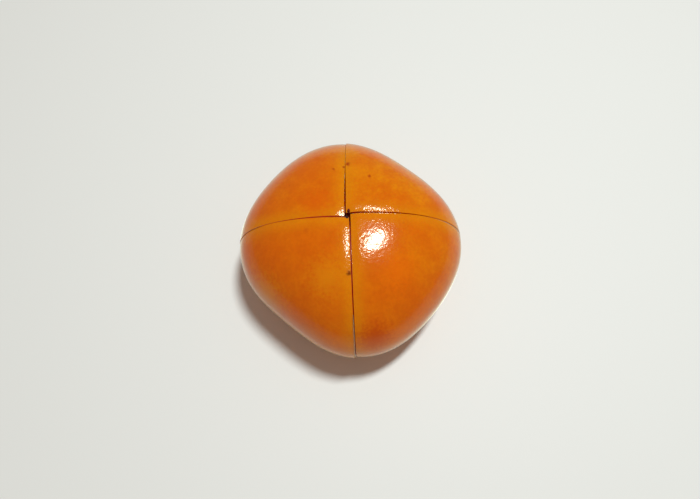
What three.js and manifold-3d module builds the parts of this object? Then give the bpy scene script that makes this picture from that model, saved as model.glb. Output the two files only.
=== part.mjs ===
// A squarish sweet persimmon, cut in four from its tip to its stem end and pushed back together.
// It stands tip up on its calyx, which the knife has cut in four as well.
// Millimetres, +Z up. The origin is on the surface that it stands on, under the middle of its outline.

import * as THREE from "three";
import { mergeGeometries, mergeVertices } from "three/addons/utils/BufferGeometryUtils.js";
import Module from "manifold-3d";

const wasm = await Module();
wasm.setup();

const { cos, sin, abs, exp, hypot, max, min, PI } = Math;
const { degToRad, smoothstep } = THREE.MathUtils;

// The whole fruit: its size, and what makes it squarish, a little oval and a little lopsided.
const MEAN_RADIUS = 42.75;
const WIDEST_HEIGHT = 24.65;
const HALF_HEIGHT = 25.3;
const FULLNESS = { out: -0.004, outAtTip: -0.046, up: 0.087, upAtTip: 0.064 };
const SQUARENESS = { share: 0.0394, turn: degToRad(4.9) };
const OVALNESS = { share: 0.0394, turn: degToRad(-42.45) };
const LEAN = { x: -0.038, y: 0.0987 };
const TILT = { rise: 0.0375, from: 2, to: 20 };

// The dimple round the tip, the hollow round the stem, and the four furrows that run down from the tip.
const DIMPLE = { depth: 0.5, radius: 2.2 };
const HOLLOW = { depth: 6, radius: 9.5 };
const FURROW = { depth: 0.26, width: 1.7, fadesFrom: degToRad(62), fadesTo: degToRad(18) };

// The knife cuts follow the furrows and miss the core, and the right half has slid back along the left half.
const CUTS = { right: degToRad(2.4), back: degToRad(90.4), left: degToRad(178.7), front: degToRad(271.8) };
const CUT_GAP = 0.45;
const MISS = { sidewaysCuts: 0.46, backAndFrontCuts: 0.84 };
const SLIDE = 0.245;
const QUARTERS = [
  { name: "back_right", from: CUTS.right, to: CUTS.back },
  { name: "back_left", from: CUTS.back, to: CUTS.left },
  { name: "front_left", from: CUTS.left, to: CUTS.front },
  { name: "front_right", from: CUTS.front, to: CUTS.right + 2 * PI },
];

// What is left of the dried style at the tip. The knife has parted it, so a bit clings to each of two quarters.
const STYLE_BITS = {
  front_left: { x: -0.25, y: -0.87, radius: 0.78, standsOut: 0.4 },
  back_right: { x: 0.45, y: 1.5, radius: 0.7, standsOut: 1.2 },
};
const STYLE = { height: 2.6, taper: 0.6, sides: 7 };

// The calyx: one broad sepal to a quarter, pressed flat under the shoulders, round a woody disc and the stem's stub.
const SEPAL = { notch: 11, tip: 28, point: 1.2, pointWidth: 0.13, thickness: 1, edgeThickness: 0.7 };
const SEPAL_LIES = { againstFruitTo: 10.5, flatFrom: 14.5, curledFrom: 22 };
const SEPAL_CURL = { rise: 0.7, wave: 0.4, waves: 2.5 };
const DISC = { radius: 6, fadesTo: 8.5, extraThickness: 1.4 };
const STUB = { radius: 2.6, underside: 1, sides: 6 };
const SEAT_GAP = 0.35;

const LONGITUDES = 18;
const LATITUDES = 36;
const SEPAL_CELLS = 14;
const CROWDING = { atPoles: 1.35, atCuts: 0.45 };

const SKIN_FINISH = { color: 0xd86a08, roughness: 0.3, metalness: 0 };
const CALYX_FINISH = { color: 0x6d6240, roughness: 0.85, metalness: 0 };

// The skin's distance from a quarter's corner, and its height, before the fruit leans. Latitude runs up to the tip.
function skinProfile(longitude, latitude, quarter) {
  const c = cos(latitude);
  const s = sin(latitude);
  const square = SQUARENESS.share * c * c * cos(4 * (longitude - SQUARENESS.turn));
  const oval = OVALNESS.share * cos(2 * (longitude - OVALNESS.turn));
  const full = 1 + s * s * (FULLNESS.out + FULLNESS.outAtTip * s);
  let radius = MEAN_RADIUS * (1 + square + oval) * full * c;
  let height = WIDEST_HEIGHT + HALF_HEIGHT * s * (1 + c * c * (FULLNESS.up + FULLNESS.upAtTip * s));
  if (latitude > 0) {
    height -= DIMPLE.depth * exp(-((radius / DIMPLE.radius) ** 2));
    const fromCut = radius * sin(min(longitude - quarter.from, quarter.to - longitude));
    const fade = smoothstep(latitude, FURROW.fadesTo, FURROW.fadesFrom);
    const sunk = FURROW.depth * fade * exp(-((fromCut / FURROW.width) ** 2));
    radius -= sunk * c;
    height -= sunk * s;
  } else {
    height += HOLLOW.depth * exp(-((radius / HOLLOW.radius) ** 2));
  }
  return { radius: max(radius - missAt(longitude, radius, quarter), 0), height };
}

// How far a cut passes from the core, on the side that longitude grows to.
function missOf(cut) {
  return abs(sin(cut)) < 0.5 ? MISS.sidewaysCuts : MISS.backAndFrontCuts;
}

// How much nearer the skin is to a quarter's corner than to the core, because the cuts miss the core.
function missAt(longitude, radius, { from, to }) {
  const towardCorner = (missOf(from) * cos(to - longitude) - missOf(to) * cos(longitude - from)) / sin(to - from);
  return (towardCorner * radius ** 2) / (radius ** 2 + 9);
}

// Where a quarter's corner is: between its two cuts as they were made, half a gap away from both, then slid.
function cornerOf({ from, to }) {
  const pastStart = missOf(from) + CUT_GAP / 2;
  const shortOfEnd = missOf(to) - CUT_GAP / 2;
  const turn = sin(to - from);
  const slid = cos((from + to) / 2) > 0 ? SLIDE : -SLIDE;
  return {
    x: (cos(to) * pastStart - cos(from) * shortOfEnd) / turn,
    y: (sin(to) * pastStart - sin(from) * shortOfEnd) / turn + slid,
  };
}

// A point given by its distance from a corner, longitude and height, on the leaning fruit with its tilted top.
function place(radius, longitude, height, corner) {
  const sideways = radius * cos(longitude);
  return new THREE.Vector3(
    corner.x + sideways + LEAN.x * (height - WIDEST_HEIGHT),
    corner.y + radius * sin(longitude) + LEAN.y * (height - WIDEST_HEIGHT),
    height + TILT.rise * sideways * smoothstep(height, TILT.from, TILT.to),
  );
}

function mapVertices(geometry, toPoint) {
  const position = geometry.getAttribute("position");
  for (let n = 0; n < position.count; n++) {
    const point = toPoint(new THREE.Vector3().fromBufferAttribute(position, n), n);
    position.setXYZ(n, point.x, point.y, point.z);
  }
  return geometry;
}

function turnFacesRound(geometry) {
  const index = geometry.getIndex();
  for (let n = 0; n < index.count; n += 3) {
    const first = index.getX(n);
    index.setX(n, index.getX(n + 1));
    index.setX(n + 1, first);
  }
  return geometry;
}

// A closed mesh as a solid: shared vertices merged, and the faces that the merging closed up left out.
function solidOf(geometry) {
  const bare = new THREE.BufferGeometry();
  bare.setAttribute("position", geometry.getAttribute("position"));
  bare.setIndex(geometry.getIndex());
  const merged = mergeVertices(bare, 1e-4);
  const index = merged.getIndex().array;
  const triVerts = [];
  for (let n = 0; n < index.length; n += 3) {
    const [a, b, c] = index.subarray(n, n + 3);
    if (a !== b && b !== c && c !== a) triVerts.push(a, b, c);
  }
  const vertProperties = new Float32Array(merged.getAttribute("position").array);
  return new wasm.Manifold(new wasm.Mesh({ numProp: 3, vertProperties, triVerts: new Uint32Array(triVerts) }));
}

function meshOf(solid, name, finish) {
  const { vertProperties, triVerts } = solid.getMesh();
  const geometry = new THREE.BufferGeometry();
  geometry.setAttribute("position", new THREE.BufferAttribute(vertProperties, 3));
  geometry.setIndex(new THREE.BufferAttribute(triVerts, 1));
  geometry.computeVertexNormals();
  const mesh = new THREE.Mesh(geometry, new THREE.MeshStandardMaterial(finish));
  mesh.name = name;
  return mesh;
}

// Latitude of row k of the skin's grid, from the stem end to the tip, with the rows closer together at both.
function latitudeOf(k) {
  const t = (2 * k) / LATITUDES - 1;
  return Math.sign(t) * (PI / 2) * (1 - (1 - Math.abs(t)) ** CROWDING.atPoles);
}

// Longitude at a share of the way across a quarter, with the shares closer together at both cuts.
function longitudeOf(share, { from, to }) {
  return from + (to - from) * (share - (CROWDING.atCuts * sin(2 * PI * share)) / (2 * PI));
}

// A quarter of the fruit: its share of the skin, and two flat cut faces that meet along the core.
function fruitQuarter(quarter) {
  const corner = cornerOf(quarter);
  const onSkin = (longitude, k) => {
    const { radius, height } = skinProfile(longitude, latitudeOf(k), quarter);
    const atPole = k === 0 || k === LATITUDES;
    return place(atPole ? 0 : radius, longitude, height, corner);
  };
  const skin = mapVertices(new THREE.PlaneGeometry(1, 1, LONGITUDES, LATITUDES), ({ x, y }) => {
    const i = Math.round((x + 0.5) * LONGITUDES);
    const k = Math.round((y + 0.5) * LATITUDES);
    return onSkin(longitudeOf(i / LONGITUDES, quarter), k);
  });
  const cutFace = (longitude) =>
    mapVertices(new THREE.CircleGeometry(1, LATITUDES, -PI / 2, PI), (point, n) =>
      n === 0 ? place(0, longitude, WIDEST_HEIGHT, corner) : onSkin(longitude, n - 1),
    );
  const faces = [skin, cutFace(quarter.from), turnFacesRound(cutFace(quarter.to))];
  return solidOf(mergeGeometries(faces));
}

// A bit of the dried style, sunk into a quarter beside its corner at the tip.
function driedStyle(bit, quarter) {
  const { height: tipHeight } = skinProfile(quarter.from, PI / 2, quarter);
  const cone = new THREE.CylinderGeometry(bit.radius * STYLE.taper, bit.radius, STYLE.height, STYLE.sides);
  cone.rotateX(PI / 2);
  cone.translate(0, 0, tipHeight + bit.standsOut - STYLE.height / 2);
  return solidOf(mapVertices(cone, ({ x, y, z }) => place(0, 0, z, { x: bit.x + x, y: bit.y + y })));
}

// Distance from the core of a sepal's edge. Across runs from -1 at one cut through 0 at the tip to 1 at the other.
function sepalEdge(across) {
  const lobe = (1 - across ** 4) ** 0.6;
  const point = SEPAL.point * exp(-((across / SEPAL.pointWidth) ** 2));
  return SEPAL.notch + (SEPAL.tip - SEPAL.notch) * lobe + point;
}

// Height of the fruit's underside at a distance from the core, found by halving the latitude.
function undersideHeight(longitude, radius, quarter) {
  let low = -PI / 2;
  let high = 0;
  for (let step = 0; step < 40; step++) {
    const middle = (low + high) / 2;
    if (skinProfile(longitude, middle, quarter).radius < radius) low = middle;
    else high = middle;
  }
  return skinProfile(longitude, low, quarter).height;
}

// Heights of a calyx quarter's top and underside: against the hollow, then flat, then curled up at the edge.
function calyxHeights(radius, longitude, across, quarter) {
  const disc = DISC.extraThickness * (1 - smoothstep(radius, DISC.radius, DISC.fadesTo));
  const thinning = (SEPAL.thickness - SEPAL.edgeThickness) * (radius / sepalEdge(across)) ** 3;
  const thickness = SEPAL.thickness - thinning + disc;
  const against = undersideHeight(longitude, radius, quarter) - SEAT_GAP;
  const inHollow = 1 - smoothstep(radius, SEPAL_LIES.againstFruitTo, SEPAL_LIES.flatFrom);
  const curled = smoothstep(radius, SEPAL_LIES.curledFrom, SEPAL.tip + SEPAL.point);
  const wave = SEPAL_CURL.wave * sin(SEPAL_CURL.waves * PI * across);
  const bottom = max(0, against - thickness) * inHollow + curled * (SEPAL_CURL.rise + wave);
  return { top: min(against, bottom + thickness), bottom };
}

// A quarter of the calyx: a sepal with its share of the disc, and its share of the stem's stub.
function calyxQuarter(quarter) {
  const corner = cornerOf(quarter);
  const box = new THREE.BoxGeometry(1, 1, 1, SEPAL_CELLS, SEPAL_CELLS, 1);
  const blade = mapVertices(box, ({ x, y, z }) => {
    const i = Math.round((x + 0.5) * SEPAL_CELLS);
    const j = Math.round((y + 0.5) * SEPAL_CELLS);
    const ring = max(i, j);
    const share = ring === 0 ? 0.5 : i >= j ? j / i / 2 : 1 - i / j / 2;
    const longitude = longitudeOf(share, quarter);
    const across = (2 * (longitude - quarter.from)) / (quarter.to - quarter.from) - 1;
    const radius = (sepalEdge(across) * ring) / SEPAL_CELLS;
    const { top, bottom } = calyxHeights(radius, longitude, across, quarter);
    return place(radius, longitude, z > 0 ? top : bottom, corner);
  });
  const wedge = new THREE.Shape();
  wedge.moveTo(0, 0);
  wedge.absarc(0, 0, STUB.radius, quarter.from, quarter.to, false);
  wedge.closePath();
  const { bottom: discUnderside } = calyxHeights(0, quarter.from, 0, quarter);
  const depth = discUnderside + DISC.extraThickness - STUB.underside;
  const stub = new THREE.ExtrudeGeometry(wedge, { depth, steps: 1, bevelEnabled: false, curveSegments: STUB.sides });
  const placedStub = mapVertices(stub, ({ x, y, z }) => {
    return place(hypot(x, y), Math.atan2(y, x), STUB.underside + z, corner);
  });
  const stubIndex = [...Array(placedStub.getAttribute("position").count).keys()];
  placedStub.setIndex(stubIndex);
  return solidOf(blade).add(solidOf(placedStub));
}

const persimmon = new THREE.Group();
for (const quarter of QUARTERS) {
  const whole = fruitQuarter(quarter);
  const bit = STYLE_BITS[quarter.name];
  const solid = bit ? whole.add(driedStyle(bit, quarter)) : whole;
  persimmon.add(meshOf(solid, `fruit_${quarter.name}`, SKIN_FINISH));
  persimmon.add(meshOf(calyxQuarter(quarter), `calyx_${quarter.name}`, CALYX_FINISH));
}

export default persimmon;
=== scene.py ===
from math import asin, atan2, cos, exp, hypot, pi, radians, sin

import bmesh
import bpy
from mathutils import Matrix, Vector, noise


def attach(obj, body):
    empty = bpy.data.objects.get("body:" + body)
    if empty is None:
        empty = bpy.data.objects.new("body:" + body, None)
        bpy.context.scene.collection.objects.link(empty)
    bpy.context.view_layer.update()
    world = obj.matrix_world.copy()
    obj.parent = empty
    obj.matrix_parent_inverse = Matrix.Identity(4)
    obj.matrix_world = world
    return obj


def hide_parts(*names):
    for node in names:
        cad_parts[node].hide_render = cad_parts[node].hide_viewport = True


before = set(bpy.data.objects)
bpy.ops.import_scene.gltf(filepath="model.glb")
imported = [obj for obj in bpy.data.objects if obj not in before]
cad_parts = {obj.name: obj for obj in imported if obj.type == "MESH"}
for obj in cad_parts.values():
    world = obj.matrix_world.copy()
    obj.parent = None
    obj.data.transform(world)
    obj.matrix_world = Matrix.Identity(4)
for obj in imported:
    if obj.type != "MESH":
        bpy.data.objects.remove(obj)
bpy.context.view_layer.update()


# The quarters of the fruit, which is a squarish persimmon with its skin and flesh grown as one. A knife has
# gone through it twice, from the tip to the stem end. The quarters are pushed together again, and the right
# half has slid back along the left half.

cuts = {"right": radians(2.4), "back": radians(90.4), "left": radians(178.7), "front": radians(271.8)}
cut_gap = 0.00045
sideways_cuts_miss, other_cuts_miss = 0.00046, 0.00084
slide = 0.000245
quarters = {
    "back_right": (cuts["right"], cuts["back"]),
    "back_left": (cuts["back"], cuts["left"]),
    "front_left": (cuts["left"], cuts["front"]),
    "front_right": (cuts["front"], cuts["right"] + 2 * pi),
}

mean_radius = 0.04275
widest_height = 0.02465
half_height = 0.0253
fuller_out, fuller_out_at_tip = -0.004, -0.046
fuller_up, fuller_up_at_tip = 0.087, 0.064
squareness, square_turn = 0.0394, radians(4.9)
ovalness, oval_turn = 0.0394, radians(-42.45)
lean = (-0.038, 0.0987)
top_tilt, tilted_heights = 0.0375, (0.002, 0.02)
dimple_depth, dimple_radius = 0.0005, 0.0022
hollow_depth, hollow_radius = 0.006, 0.0095
furrow_depth, furrow_width = 0.00026, 0.0017
furrow_fades = (radians(18), radians(62))
core_radius = 0.003
swelling, swelling_size = 0.00012, 0.014

pressed_shut, pressed_width = 0.00013, 0.003
pressed_less = (radians(45), radians(80))
flesh_swells, flesh_off_core, flesh_under_skin = 0.0002, (0.001, 0.004), (0.975, 1)
edge_rounding = 0.00012
yellow_width = 0.004
# Depths, as shares of the way out from the middle, over which the flesh under the skin is painted dark red as
# shade in the cuts.
painted_shade_under_skin = (0.86, 0.97)
pole_crowding, cut_crowding, skin_crowding = 1.3, 0.4, 1.4


def smooth_step(low, high, value):
    """0 below the low value, 1 above the high one, and a smooth rise between them."""
    share = min(max((value - low) / (high - low), 0), 1)
    return share * share * (3 - 2 * share)


def miss_of(cut):
    """How far a cut passes from the core, on the side that longitude grows to."""
    return sideways_cuts_miss if abs(sin(cut)) < 0.5 else other_cuts_miss


def skin_profile(longitude, latitude, start, end):
    """Distance from the core and height of the skin before it leans, from the stem end up to the tip."""
    across, up = cos(latitude), sin(latitude)
    square = squareness * across**2 * cos(4 * (longitude - square_turn))
    oval = ovalness * cos(2 * (longitude - oval_turn))
    full = 1 + up**2 * (fuller_out + fuller_out_at_tip * up)
    radius = mean_radius * (1 + square + oval) * across * full
    height = widest_height + half_height * up * (1 + across**2 * (fuller_up + fuller_up_at_tip * up))
    if latitude > 0:
        height -= dimple_depth * exp(-((radius / dimple_radius) ** 2))
        from_cut = radius * sin(min(longitude - start, end - longitude))
        sunk = furrow_depth * smooth_step(*furrow_fades, latitude) * exp(-((from_cut / furrow_width) ** 2))
        radius -= sunk * across
        height -= sunk * up
    else:
        height += hollow_depth * exp(-((radius / hollow_radius) ** 2))
    toward_corner = miss_of(start) * cos(end - longitude) - miss_of(end) * cos(longitude - start)
    miss = toward_corner / sin(end - start) * radius**2 / (radius**2 + core_radius**2)
    return max(radius - miss, 0), height


def corner_of(start, end):
    """A quarter's corner: where its two cuts were made, half a gap in from both, then slid."""
    past_start = miss_of(start) + cut_gap / 2
    short_of_end = miss_of(end) - cut_gap / 2
    turn = sin(end - start)
    slid = slide if cos((start + end) / 2) > 0 else -slide
    return Vector((
        (cos(end) * past_start - cos(start) * short_of_end) / turn,
        (sin(end) * past_start - sin(start) * short_of_end) / turn + slid,
        0,
    ))


def place(radius, longitude, height):
    """A point on the leaning fruit with its tilted top, as seen from its quarter's corner."""
    above = height - widest_height
    sideways = radius * cos(longitude)
    risen = height + top_tilt * sideways * smooth_step(*tilted_heights, height)
    return Vector((sideways + lean[0] * above, radius * sin(longitude) + lean[1] * above, risen))


def crowd_to_poles(latitude):
    """A latitude moved toward the nearer pole, so that the mesh is finest there."""
    share = abs(latitude) / (pi / 2)
    return (1 if latitude > 0 else -1) * (pi / 2) * (1 - (1 - share) ** pole_crowding)


def crowd_to_cuts(longitude, start, end):
    """The longitude for an angle past the first cut, moved toward the nearer cut."""
    share = longitude / (end - start)
    return start + (end - start) * (share - cut_crowding * sin(2 * pi * share) / (2 * pi))


def on_ball(verts):
    """Whether all of these vertices lie on the surface of a ball of radius 1."""
    return all(vert.co.length > 0.9999 for vert in verts)


def quarter_ball(span, arc_steps, turn_steps, depth_steps):
    """A quarter of a ball of radius 1: its skin, and two flat faces that meet along the core."""
    ball = bmesh.new()
    centre = ball.verts.new((0, 0, 0))
    step_down = (0, 0, -1 / depth_steps)
    bmesh.ops.spin(ball, geom=[centre], axis=(0, 0, 1), dvec=step_down, angle=0, steps=depth_steps)
    line = ball.verts[:] + ball.edges[:]
    bmesh.ops.spin(ball, geom=line, cent=(0, 0, 0), axis=(0, -1, 0), angle=pi, steps=arc_steps)
    bmesh.ops.remove_doubles(ball, verts=ball.verts[:], dist=1e-6)
    cut_face = ball.verts[:] + ball.edges[:] + ball.faces[:]
    rim = [edge for edge in ball.edges if on_ball(edge.verts)]
    rim_verts = list(dict.fromkeys(vert for edge in rim for vert in edge.verts))
    copy = bmesh.ops.duplicate(ball, geom=cut_face)["geom"]
    other_face = [item for item in copy if isinstance(item, bmesh.types.BMVert)]
    bmesh.ops.rotate(ball, verts=other_face, cent=(0, 0, 0), matrix=Matrix.Rotation(span, 3, "Z"))
    bmesh.ops.spin(ball, geom=rim_verts + rim, cent=(0, 0, 0), axis=(0, 0, 1), angle=span, steps=turn_steps)
    bmesh.ops.remove_doubles(ball, verts=ball.verts[:], dist=1e-6)
    bmesh.ops.recalc_face_normals(ball, faces=ball.faces[:])
    return ball


def finished_piece(mesh_builder, name, materials, smooth=True):
    """The object for a finished bmesh, riding on the part's one body."""
    mesh = bpy.data.meshes.new(name)
    mesh_builder.to_mesh(mesh)
    mesh_builder.free()
    for material in materials:
        mesh.materials.append(material)
    mesh.polygons.foreach_set("use_smooth", [smooth] * len(mesh.polygons))
    piece = bpy.data.objects.new(name, mesh)
    bpy.context.scene.collection.objects.link(piece)
    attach(piece, "root")
    return piece


def srgb(red, green, blue):
    """A colour as it shows on a screen, from 0 to 255, as the shader's own linear colour."""
    shares = [value / 255 for value in (red, green, blue)]
    linear = [share / 12.92 if share <= 0.04045 else ((share + 0.055) / 1.055) ** 2.4 for share in shares]
    return (*linear, 1)


def add(tree, kind, inputs=None, **settings):
    """A shader node with its settings, and with its inputs set to values or linked to sockets."""
    node = tree.nodes.new("ShaderNode" + kind)
    for name, value in settings.items():
        setattr(node, name, value)
    for name, value in (inputs or {}).items():
        if isinstance(value, bpy.types.NodeSocket):
            tree.links.new(value, node.inputs[name])
        else:
            node.inputs[name].default_value = value
    return node


def mixed(tree, amount, first, second):
    """The socket of a colour mixed from two."""
    node = add(tree, "Mix", {0: amount, 6: first, 7: second}, data_type="RGBA")
    return node.outputs[2]


def new_group(name, inputs, outputs):
    """A new node group, the sockets of what it is given, and those of what it puts out."""
    group = bpy.data.node_groups.new(name, "ShaderNodeTree")
    for label, kind, value in inputs:
        socket = group.interface.new_socket(label, in_out="INPUT", socket_type="NodeSocket" + kind)
        if value is not None:
            socket.default_value = value
    for label, kind in outputs:
        group.interface.new_socket(label, in_out="OUTPUT", socket_type="NodeSocket" + kind)
    return group, group.nodes.new("NodeGroupInput").outputs, group.nodes.new("NodeGroupOutput").inputs


def use_group(tree, group, **inputs):
    """The output of a node group that is placed in a material, with its inputs set or linked."""
    node = tree.nodes.new("ShaderNodeGroup")
    node.node_tree = group
    for name, value in inputs.items():
        if isinstance(value, bpy.types.NodeSocket):
            tree.links.new(value, node.inputs[name])
        else:
            node.inputs[name].default_value = value
    return node.outputs[0]


def mottling_group():
    """Soft clouds about Size metres across, which go from Least to Most."""
    group, given, result = new_group(
        "mottling",
        [
            ("Vector", "Vector", None),
            ("Size", "Float", 0.01),
            ("Least", "Float", 0.0),
            ("Most", "Float", 1.0),
        ],
        [("Amount", "Float")],
    )
    scale = add(group, "Math", {0: 1.0, 1: given["Size"]}, operation="DIVIDE").outputs[0]
    clouds = add(
        group, "TexNoise", {"Vector": given["Vector"], "Scale": scale, "Detail": 3.0, "Roughness": 0.5},
    ).outputs[0]
    limits = {"From Min": 0.32, "From Max": 0.68, "To Min": given["Least"], "To Max": given["Most"]}
    amount = add(group, "MapRange", {"Value": clouds, **limits}, interpolation_type="SMOOTHSTEP")
    group.links.new(amount.outputs[0], result["Amount"])
    return group


def specks_group():
    """Scattered round specks: at most one to a cell of Spacing metres, its radius up to Radius of a cell."""
    group, given, result = new_group(
        "specks",
        [
            ("Vector", "Vector", None),
            ("Spacing", "Float", 0.005),
            ("Radius", "Float", 0.1),
            ("Share", "Float", 0.5),
        ],
        [("Amount", "Float")],
    )
    scale = add(group, "Math", {0: 1.0, 1: given["Spacing"]}, operation="DIVIDE").outputs[0]
    cells = add(group, "TexVoronoi", {"Vector": given["Vector"], "Scale": scale})
    chance = add(group, "SeparateColor", {0: cells.outputs["Color"]})
    chosen = add(group, "Math", {0: chance.outputs[0], 1: given["Share"]}, operation="LESS_THAN").outputs[0]
    size = add(group, "Math", {0: chance.outputs[1], 1: given["Radius"]}, operation="MULTIPLY").outputs[0]
    spot = add(group, "MapRange", {"Value": cells.outputs["Distance"], "From Min": size, "From Max": 0.0})
    amount = add(group, "Math", {0: spot.outputs[0], 1: chosen}, operation="MULTIPLY")
    group.links.new(amount.outputs[0], result["Amount"])
    return group


def blemish_group():
    """One ragged mark round Centre, which has faded out about Radius metres away."""
    group, given, result = new_group(
        "blemish",
        [("Vector", "Vector", None), ("Centre", "Vector", None), ("Radius", "Float", 0.001)],
        [("Amount", "Float")],
    )
    away = add(group, "VectorMath", {0: given["Vector"], 1: given["Centre"]}, operation="DISTANCE")
    ragged = add(group, "TexNoise", {"Vector": given["Vector"], "Scale": 900.0, "Detail": 2.0})
    edge = add(group, "Math", {0: ragged.outputs[0], 1: 1.6}, operation="MULTIPLY").outputs[0]
    reach = add(group, "Math", {0: edge, 1: given["Radius"]}, operation="MULTIPLY").outputs[0]
    amount = add(
        group, "MapRange", {"Value": away.outputs["Value"], "From Min": reach, "From Max": 0.0},
        interpolation_type="SMOOTHSTEP",
    )
    group.links.new(amount.outputs[0], result["Amount"])
    return group


mottling = mottling_group()
specks = specks_group()
blemish = blemish_group()


def skin_material(marks):
    """Waxy orange skin: clouded, yellower along the furrows, with a bloom and a few scars; painted lighter
    toward the lamp, paler low down and at the front partly as a painted reflection, and painted shade round
    the tip.
    """
    material = bpy.data.materials.new("persimmon_skin")
    material.use_nodes = True
    tree = material.node_tree
    shader = tree.nodes["Principled BSDF"]
    here = add(tree, "TexCoord").outputs["Object"]
    near_cut = add(tree, "Attribute", attribute_name="near_cut").outputs["Fac"]

    # Painted light: the skin is painted lighter and yellower on the side toward the lamp, at the back and
    # right, than on the side away from it.
    toward_lamp = add(tree, "VectorMath", {0: here, 1: (0.6, 0.8, 0)}, operation="DOT_PRODUCT")
    painted_lit_side = add(
        tree, "MapRange", {"Value": toward_lamp.outputs["Value"], "From Min": -0.012, "From Max": 0.03},
        interpolation_type="SMOOTHSTEP",
    )
    colour = mixed(tree, painted_lit_side.outputs[0], srgb(218, 109, 0), srgb(223, 133, 0))
    cloud_layers = [
        (0.018, 0.7, srgb(216, 98, 0)),
        (0.005, 0.4, srgb(204, 84, 0)),
        (0.0013, 0.3, srgb(196, 86, 0)),
    ]
    for size, most, cloud in cloud_layers:
        clouds = use_group(tree, mottling, Vector=here, Size=size, Most=most)
        colour = mixed(tree, clouds, colour, cloud)
    yellow = add(tree, "Math", {0: near_cut, 1: 0.45}, operation="MULTIPLY").outputs[0]
    colour = mixed(tree, yellow, colour, srgb(218, 140, 0))
    freckles = use_group(tree, specks, Vector=here, Spacing=0.006, Radius=0.12, Share=0.35)
    freckled = add(tree, "Math", {0: freckles, 1: 0.3}, operation="MULTIPLY").outputs[0]
    colour = mixed(tree, freckled, colour, srgb(150, 60, 8))
    for centre, radius, strength, stain in marks:
        mark = use_group(tree, blemish, Vector=here, Centre=centre, Radius=radius)
        seen = add(tree, "Math", {0: mark, 1: strength}, operation="MULTIPLY").outputs[0]
        colour = mixed(tree, seen, colour, stain)

    # Paler and yellower low down, most at the front right: partly the paler skin near the calyx, partly a
    # painted reflection of the pale floor.
    height = add(tree, "VectorMath", {0: here, 1: (-0.06, 0.12, 1)}, operation="DOT_PRODUCT").outputs["Value"]
    pale_low_and_reflection = add(tree, "MapRange", {"Value": height, "From Min": 0.032, "From Max": 0.016, "To Max": 0.4})
    colour = mixed(tree, pale_low_and_reflection.outputs[0], colour, srgb(228, 164, 70))

    peel = add(tree, "TexNoise", {"Vector": here, "Scale": 850.0, "Detail": 2.0, "Roughness": 0.6}).outputs[0]
    ripple = add(tree, "TexNoise", {"Vector": here, "Scale": 220.0, "Detail": 1.0}).outputs[0]
    wrinkling = add(tree, "Math", {0: near_cut, 1: 1.5, 2: 1.0}, operation="MULTIPLY_ADD").outputs[0]
    peel = add(tree, "Math", {0: peel, 1: wrinkling}, operation="MULTIPLY").outputs[0]
    fine = add(tree, "Bump", {"Height": peel, "Distance": 0.00006, "Strength": 1.0}).outputs[0]
    bump = add(tree, "Bump", {"Height": ripple, "Distance": 0.00007, "Strength": 1.0, "Normal": fine})
    tree.links.new(colour, shader.inputs["Base Color"])
    tree.links.new(bump.outputs[0], shader.inputs["Normal"])
    shader.inputs["Roughness"].default_value = 0.14
    shader.inputs["IOR"].default_value = 1.36
    shader.inputs["Specular Tint"].default_value = (1.0, 1.0, 0.8, 1)
    shader.inputs["Sheen Weight"].default_value = 0.95
    shader.inputs["Sheen Roughness"].default_value = 0.27
    shader.inputs["Sheen Tint"].default_value = (0.9, 0.96, 0.72, 1)
    shader.inputs["Subsurface Weight"].default_value = 0.12
    shader.inputs["Subsurface Radius"].default_value = (1.0, 0.3, 0.08)
    shader.inputs["Subsurface Scale"].default_value = 0.003
    return material


def flesh_material():
    """Firm cut flesh with small brown tannin specks, painted dark red along the skin as shade in the cuts,
    and dark round the tip as shade in the hole there.
    """
    material = bpy.data.materials.new("persimmon_flesh")
    material.use_nodes = True
    tree = material.node_tree
    shader = tree.nodes["Principled BSDF"]
    here = add(tree, "TexCoord").outputs["Object"]
    clouds = use_group(tree, mottling, Vector=here, Size=0.008)
    colour = mixed(tree, clouds, srgb(226, 128, 30), srgb(238, 150, 52))
    tannin = use_group(tree, specks, Vector=here, Spacing=0.0016, Radius=0.22, Share=0.5)
    colour = mixed(tree, tannin, colour, srgb(150, 74, 20))
    # Painted shade: the flesh just under the skin is painted dark red, as shade in the narrow cuts between
    # the quarters.
    under_skin = add(tree, "Attribute", attribute_name="under_skin").outputs["Fac"]
    colour = mixed(tree, under_skin, colour, srgb(172, 22, 0))
    # Painted shade: the cut flesh round the tip is painted dark, as shade deep in the hole between the
    # quarters.
    tip_hole_shade = use_group(tree, blemish, Vector=here, Centre=tip, Radius=0.0028)
    colour = mixed(tree, tip_hole_shade, colour, srgb(60, 8, 6))
    fibres = add(tree, "TexNoise", {"Vector": here, "Scale": 700.0, "Detail": 3.0}).outputs[0]
    bump = add(tree, "Bump", {"Height": fibres, "Distance": 0.00008, "Strength": 1.0}).outputs[0]
    tree.links.new(colour, shader.inputs["Base Color"])
    tree.links.new(bump, shader.inputs["Normal"])
    shader.inputs["Roughness"].default_value = 0.35
    shader.inputs["Subsurface Weight"].default_value = 1.0
    shader.inputs["Subsurface Radius"].default_value = (1.0, 0.3, 0.1)
    shader.inputs["Subsurface Scale"].default_value = 0.004
    return material


def on_skin(longitude, latitude, quarter_name):
    """A point of the skin in its slid place."""
    start, end = quarters[quarter_name]
    radius, height = skin_profile(longitude, latitude, start, end)
    return place(radius, longitude, height) + corner_of(start, end)


tip = place(0, 0, skin_profile(cuts["front"], pi / 2, *quarters["front_left"])[1])

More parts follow.
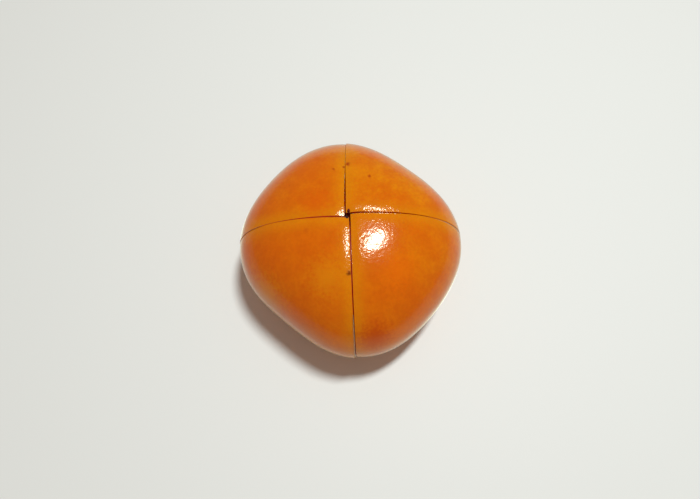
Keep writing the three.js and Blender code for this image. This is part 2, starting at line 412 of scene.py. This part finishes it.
# Each mark has its centre, radius, strength and colour.
cloudy_patches = [
    (on_skin(radians(125), radians(50), "back_left"), 0.016, 0.5, srgb(214, 92, 0)),
    (on_skin(radians(250), radians(55), "front_left"), 0.014, 0.6, srgb(221, 134, 4)),
    (on_skin(radians(215), radians(15), "front_left"), 0.016, 0.7, srgb(216, 132, 4)),
    (on_skin(radians(281), radians(18), "front_right"), 0.013, 0.75, srgb(186, 56, 0)),
    (on_skin(radians(310), radians(52), "front_right"), 0.014, 0.5, srgb(232, 110, 0)),
    (on_skin(radians(152), radians(72), "back_left"), 0.011, 0.5, srgb(214, 80, 0)),
]
# Painted shade: the skin round the tip is painted dark, as shade in the hole between the quarters there.
painted_tip_shade = [
    (tip, 0.0018, 0.9, srgb(70, 14, 4)),
    (tip + Vector((0.0006, 0.0016, 0.001)), 0.0011, 0.95, srgb(96, 8, 4)),
]
scars = [
    (on_skin(radians(88.5), radians(56.6), "back_right"), 0.0018, 0.85, srgb(150, 34, 0)),
    (on_skin(radians(91.5), radians(58.3), "back_left"), 0.0013, 0.85, srgb(150, 34, 0)),
    (on_skin(radians(269.8), radians(60.1), "front_left"), 0.0015, 0.9, srgb(116, 46, 4)),
    (on_skin(radians(269.8), radians(59.2), "front_left"), 0.0015, 0.9, srgb(116, 46, 4)),
    (on_skin(radians(101.6), radians(59.6), "back_left"), 0.0012, 0.7, srgb(160, 44, 0)),
    (on_skin(radians(61.2), radians(62.1), "back_right"), 0.0013, 0.8, srgb(156, 40, 0)),
    (on_skin(radians(196), radians(67), "front_left"), 0.002, 0.35, srgb(180, 60, 4)),
]
skin = skin_material(cloudy_patches + painted_tip_shade + scars)
flesh = flesh_material()


def into_gap(radius, longitude, latitude, from_cut, depth):
    """How far a point stands into its cut: pressed shut away from the tip, and swollen under the skin."""
    shut = pressed_shut * (1 + sin(longitude)) * (1 - smooth_step(*pressed_less, latitude))
    under_skin = 1 - smooth_step(*flesh_under_skin, depth)
    swollen = flesh_swells * under_skin * smooth_step(*flesh_off_core, radius * depth)
    return min(shut + swollen, flesh_swells) * exp(-((from_cut / pressed_width) ** 2))


def fruit_quarter(name, start, end):
    """One quarter, shaped from a quarter ball: its skin, and its two cut faces with their edges rounded."""
    corner = corner_of(start, end)
    middle = place(0, 0, widest_height)
    quarter = quarter_ball(end - start, arc_steps=120, turn_steps=60, depth_steps=16)
    near_cut = quarter.verts.layers.float.new("near_cut")
    under_skin = quarter.verts.layers.float.new("under_skin")
    for face in quarter.faces:
        face.material_index = 0 if on_ball(face.verts) else 1
    for vert in quarter.verts:
        depth = vert.co.length
        if depth < 1e-6:
            vert.co = middle + corner
            continue
        latitude = crowd_to_poles(asin(max(-1, min(1, vert.co.z / depth))))
        at_pole = hypot(vert.co.x, vert.co.y) < 1e-6
        longitude = crowd_to_cuts(0 if at_pole else atan2(vert.co.y, vert.co.x) % (2 * pi), start, end)
        radius, height = skin_profile(longitude, latitude, start, end)
        surface = place(0 if at_pole else radius, longitude, height)
        surface += (surface - middle).normalized() * swelling * noise.noise(surface / swelling_size)
        depth = 1 - max(0, 1 - depth) ** skin_crowding
        from_cut = radius * sin(min(longitude - start, end - longitude))
        outward = end + pi / 2 if longitude > (start + end) / 2 else start - pi / 2
        fill = into_gap(radius, longitude, latitude, from_cut, depth)
        filled = fill * Vector((cos(outward), sin(outward), 0))
        vert.co = middle + (surface - middle) * depth + corner + filled
        vert[near_cut] = exp(-((from_cut / yellow_width) ** 2))
        # Painted shade: marks the flesh just under the skin, where the cuts lie in shade, to be painted dark
        # red.
        vert[under_skin] = smooth_step(*painted_shade_under_skin, depth)
    cut_edges = [e for e in quarter.edges if len({f.material_index for f in e.link_faces}) == 2]
    bmesh.ops.bevel(
        quarter, geom=cut_edges, affect="EDGES", offset=edge_rounding, segments=2, profile=0.5, material=-1,
    )
    piece = finished_piece(quarter, f"persimmon_{name}", [skin, flesh])
    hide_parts(f"fruit_{name}")


for name, (start, end) in quarters.items():
    fruit_quarter(name, start, end)


# The calyx: four broad dry sepals, one to a quarter, pressed flat under the fruit's shoulders. They join
# round a woody disc that is grown to the fruit, and the knife has cut the calyx in four as well.

sepal_notch, sepal_tip, sepal_point, point_width = 0.011, 0.028, 0.0012, 0.13
sepal_thickness, sepal_edge_thickness = 0.001, 0.0007
against_fruit_to, flat_from, curled_from = 0.0105, 0.0145, 0.022
curl_rise, curl_wave, curl_waves = 0.0007, 0.0004, 2.5
disc_radius, disc_fades_to, disc_extra_thickness = 0.006, 0.0085, 0.0014
seat_gap = 0.00035
vein_length, vein_spread = 6, 5
sepal_rings, sepal_turn_steps = 40, 60


def sepal_edge(across):
    """Distance from the core of a sepal's edge, from -1 at one cut through 0 at its tip to 1 at the other."""
    lobe = (1 - min(across**4, 1)) ** 0.6
    return sepal_notch + (sepal_tip - sepal_notch) * lobe + sepal_point * exp(-((across / point_width) ** 2))


def underside_height(longitude, radius, start, end):
    """Height of the fruit's underside at a distance from the core, found by halving the latitude."""
    low, high = -pi / 2, 0
    for _ in range(30):
        middle = (low + high) / 2
        if skin_profile(longitude, middle, start, end)[0] < radius:
            low = middle
        else:
            high = middle
    return skin_profile(longitude, low, start, end)[1]


def calyx_heights(radius, longitude, across, start, end):
    """Heights of the calyx's top and underside: against the hollow, then flat, then curled up at the edge."""
    disc = disc_extra_thickness * (1 - smooth_step(disc_radius, disc_fades_to, radius))
    thickness = sepal_thickness + disc
    thickness -= (sepal_thickness - sepal_edge_thickness) * (radius / sepal_edge(across)) ** 3
    against = underside_height(longitude, radius, start, end) - seat_gap
    in_hollow = 1 - smooth_step(against_fruit_to, flat_from, radius)
    curled = smooth_step(curled_from, sepal_tip + sepal_point, radius)
    bottom = max(0, against - thickness) * in_hollow
    bottom += curled * (curl_rise + curl_wave * sin(curl_waves * pi * across))
    return min(against, bottom + thickness), bottom


def calyx_material():
    """Dry sepal: mottled olive brown with dark spots, and raised veins that fan out from the disc."""
    material = bpy.data.materials.new("dry_calyx")
    material.use_nodes = True
    tree = material.node_tree
    shader = tree.nodes["Principled BSDF"]
    here = add(tree, "TexCoord").outputs["Object"]
    broad = use_group(tree, mottling, Vector=here, Size=0.007)
    colour = mixed(tree, broad, srgb(92, 84, 48), srgb(132, 112, 66))
    spots = use_group(tree, specks, Vector=here, Spacing=0.0022, Radius=0.3, Share=0.5)
    colour = mixed(tree, spots, colour, srgb(62, 46, 28))
    spread = add(tree, "Attribute", attribute_name="vein").outputs["Vector"]
    veins = add(
        tree, "TexWave",
        {"Vector": spread, "Scale": 1.6, "Distortion": 3.0, "Detail": 2.0, "Detail Scale": 1.4},
    ).outputs[1]
    bump = add(tree, "Bump", {"Height": veins, "Distance": 0.0003, "Strength": 0.8}).outputs[0]
    tree.links.new(colour, shader.inputs["Base Color"])
    tree.links.new(bump, shader.inputs["Normal"])
    shader.inputs["Roughness"].default_value = 0.75
    return material


dry_calyx = calyx_material()


def calyx_quarter(name, start, end):
    """One sepal and its share of the disc, shaped from a quarter of a flat round of radius 1."""
    span = end - start
    corner = corner_of(start, end)
    sepal = bmesh.new()
    first = sepal.verts.new((0, 0, 0))
    step_out = (1 / sepal_rings, 0, 0)
    bmesh.ops.spin(sepal, geom=[first], axis=(0, 0, 1), dvec=step_out, angle=0, steps=sepal_rings)
    line = sepal.verts[:] + sepal.edges[:]
    bmesh.ops.spin(sepal, geom=line, axis=(0, 0, 1), dvec=(0, 0, 1), angle=0, steps=1)
    strip = sepal.verts[:] + sepal.edges[:] + sepal.faces[:]
    bmesh.ops.spin(sepal, geom=strip, cent=(0, 0, 0), axis=(0, 0, 1), angle=span, steps=sepal_turn_steps)
    bmesh.ops.remove_doubles(sepal, verts=sepal.verts[:], dist=1e-5)
    bmesh.ops.recalc_face_normals(sepal, faces=sepal.faces[:])
    veins = []
    for vert in sepal.verts:
        share = hypot(vert.co.x, vert.co.y)
        turned = atan2(vert.co.y, vert.co.x) if share > 1e-6 else span / 2
        longitude = crowd_to_cuts(turned, start, end)
        across = 2 * (longitude - start) / span - 1
        radius = sepal_edge(across) * share
        top, bottom = calyx_heights(radius, longitude, across, start, end)
        veins.append(Vector((share * vein_length, across * vein_spread, vert.co.z)))
        vert.co = place(radius, longitude, top if vert.co.z > 0.5 else bottom) + corner
    piece = finished_piece(sepal, f"calyx_sepal_{name}", [dry_calyx])
    vein = piece.data.attributes.new("vein", "FLOAT_VECTOR", "POINT")
    for index, spot in enumerate(veins):
        vein.data[index].vector = spot
    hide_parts(f"calyx_{name}")


for name, (start, end) in quarters.items():
    calyx_quarter(name, start, end)


# The stub of the stem: a woody peg that is grown from the middle of the calyx. It was clipped short when the
# fruit was picked, and the knife has quartered it too.

stub_radius, stub_underside, stub_top = 0.0026, 0.001, 0.004
stub_rings, stub_levels, stub_turn_steps = 4, 6, 12
bark_roughness, bark_grain = 0.06, 500


def wood_material():
    """Dry grey-brown wood with a rough bark."""
    material = bpy.data.materials.new("dry_stem")
    material.use_nodes = True
    tree = material.node_tree
    shader = tree.nodes["Principled BSDF"]
    here = add(tree, "TexCoord").outputs["Object"]
    broad = use_group(tree, mottling, Vector=here, Size=0.0015)
    colour = mixed(tree, broad, srgb(70, 54, 38), srgb(120, 98, 70))
    grain = add(tree, "TexNoise", {"Vector": here, "Scale": 2500.0, "Detail": 3.0}).outputs[0]
    bump = add(tree, "Bump", {"Height": grain, "Distance": 0.0002, "Strength": 0.8}).outputs[0]
    tree.links.new(colour, shader.inputs["Base Color"])
    tree.links.new(bump, shader.inputs["Normal"])
    shader.inputs["Roughness"].default_value = 0.85
    return material


dry_stem = wood_material()


def stem_quarter(name, start, end):
    """A quarter of the peg, with its bark roughened."""
    peg = bmesh.new()
    first = peg.verts.new((0, 0, stub_underside))
    step_out = (stub_radius / stub_rings, 0, 0)
    bmesh.ops.spin(peg, geom=[first], axis=(0, 0, 1), dvec=step_out, angle=0, steps=stub_rings)
    line = peg.verts[:] + peg.edges[:]
    rise = (stub_top - stub_underside) / stub_levels
    bmesh.ops.spin(peg, geom=line, axis=(0, 0, 1), dvec=(0, 0, rise), angle=0, steps=stub_levels)
    strip = peg.verts[:] + peg.edges[:] + peg.faces[:]
    span = end - start
    bmesh.ops.spin(peg, geom=strip, cent=(0, 0, 0), axis=(0, 0, 1), angle=span, steps=stub_turn_steps)
    bmesh.ops.remove_doubles(peg, verts=peg.verts[:], dist=1e-7)
    bmesh.ops.recalc_face_normals(peg, faces=peg.faces[:])
    for vert in peg.verts:
        radius = hypot(vert.co.x, vert.co.y)
        longitude = start + (atan2(vert.co.y, vert.co.x) if radius > 1e-9 else 0)
        round_bark = Vector((cos(longitude), sin(longitude), vert.co.z * bark_grain))
        rough = 1 + bark_roughness * noise.noise(round_bark * 3)
        vert.co = place(radius * rough, longitude, vert.co.z) + corner_of(start, end)
    piece = finished_piece(peg, f"stem_stub_{name}", [dry_stem], smooth=False)


for name, (start, end) in quarters.items():
    stem_quarter(name, start, end)


# The style: the dried black remnant of the flower, grown on at the tip. The knife has parted it, so that one
# bit clings to the corner of the front left quarter, and a smaller and redder one to the back right quarter.

style_height, style_taper, style_sides = 0.0026, 0.6, 10
style_raggedness, style_grain = 0.00018, 1800


def dried_material(name, dark, light):
    """Dried flower tissue: matt and shrivelled."""
    material = bpy.data.materials.new(name)
    material.use_nodes = True
    tree = material.node_tree
    here = add(tree, "TexCoord").outputs["Object"]
    clouds = use_group(tree, mottling, Vector=here, Size=0.0006)
    shrivelled = add(tree, "TexNoise", {"Vector": here, "Scale": 3000.0, "Detail": 2.0}).outputs[0]
    bump = add(tree, "Bump", {"Height": shrivelled, "Distance": 0.0002, "Strength": 0.8}).outputs[0]
    shader = tree.nodes["Principled BSDF"]
    tree.links.new(mixed(tree, clouds, dark, light), shader.inputs["Base Color"])
    tree.links.new(bump, shader.inputs["Normal"])
    shader.inputs["Roughness"].default_value = 0.9
    return material


black_style = dried_material("black_style", srgb(24, 5, 6), srgb(56, 10, 10))
red_style = dried_material("red_style", srgb(80, 4, 2), srgb(128, 8, 4))


def style_bit(name, x, y, radius, stands_out, material):
    """A ragged stump, sunk into the fruit beside a corner at the tip."""
    stump = bmesh.new()
    bmesh.ops.create_cone(
        stump, cap_ends=True, segments=style_sides,
        radius1=radius, radius2=radius * style_taper, depth=style_height,
    )
    bmesh.ops.subdivide_edges(stump, edges=stump.edges[:], cuts=3, use_grid_fill=True)
    for vert in stump.verts:
        spots = [vert.co * style_grain + Vector((shift, 0, 0)) for shift in (0, 10, 20)]
        vert.co += style_raggedness * Vector([noise.noise(spot) for spot in spots])
        height = tip.z + stands_out - style_height / 2 + vert.co.z
        vert.co = place(0, 0, height) + Vector((vert.co.x + x, vert.co.y + y, 0))
    finished_piece(stump, name, [material])


style_bit("style_front_left", -0.00025, -0.00087, 0.00078, 0.0004, black_style)
style_bit("style_back_right", 0.00045, 0.0015, 0.0007, 0.0012, red_style)


# The floor that the fruit stands on, plain and pale.

floor_reach = 3

floor_mesh = bmesh.new()
bmesh.ops.create_grid(floor_mesh, x_segments=1, y_segments=1, size=floor_reach)
floor_data = bpy.data.meshes.new("floor")
floor_mesh.to_mesh(floor_data)
floor_mesh.free()
floor_paint = bpy.data.materials.new("pale_floor")
floor_paint.use_nodes = True
floor_shader = floor_paint.node_tree.nodes["Principled BSDF"]
floor_shader.inputs["Base Color"].default_value = (0.80, 0.81, 0.775, 1)
floor_shader.inputs["Roughness"].default_value = 0.6
floor_data.materials.append(floor_paint)
floor = bpy.data.objects.new("floor", floor_data)
bpy.context.scene.collection.objects.link(floor)


# Light: one soft lamp above and to the right, in a dim room.

lamp_aim = Vector((0, 0, 0.05))
lamp_from_aim = Vector((0.198, 0.166, 0.966))

lamp_data = bpy.data.lights.new("soft_lamp", "AREA")
lamp_data.shape = "ELLIPSE"
lamp_data.size, lamp_data.size_y = 0.11, 0.22
lamp_data.energy = 8.95
lamp_data.color = (0.91, 0.985, 1.0)
lamp = bpy.data.objects.new("soft_lamp", lamp_data)
lamp.location = lamp_aim + lamp_from_aim
lamp.rotation_euler = (lamp_aim - lamp.location).to_track_quat("-Z", "Y").to_euler()
bpy.context.scene.collection.objects.link(lamp)

world = bpy.data.worlds.new("dim_room")
world.use_nodes = True
world.node_tree.nodes["Background"].inputs["Color"].default_value = (1, 0.78, 0.68, 1)
world.node_tree.nodes["Background"].inputs["Strength"].default_value = 0.265
bpy.context.scene.world = world
bpy.context.scene.view_settings.view_transform = "Standard"


# The camera looks down on the fruit from the front, at a phone's usual angle of view.

looks_down = radians(68.47)

camera_data = bpy.data.cameras.new("camera")
camera_data.sensor_width = 36
camera_data.lens = 27.05
camera = bpy.data.objects.new("camera", camera_data)
camera.location = (0.00002, -0.0799, 0.2236)
camera.rotation_euler = (pi / 2 - looks_down, 0, 0)
bpy.context.scene.collection.objects.link(camera)
bpy.context.scene.camera = camera
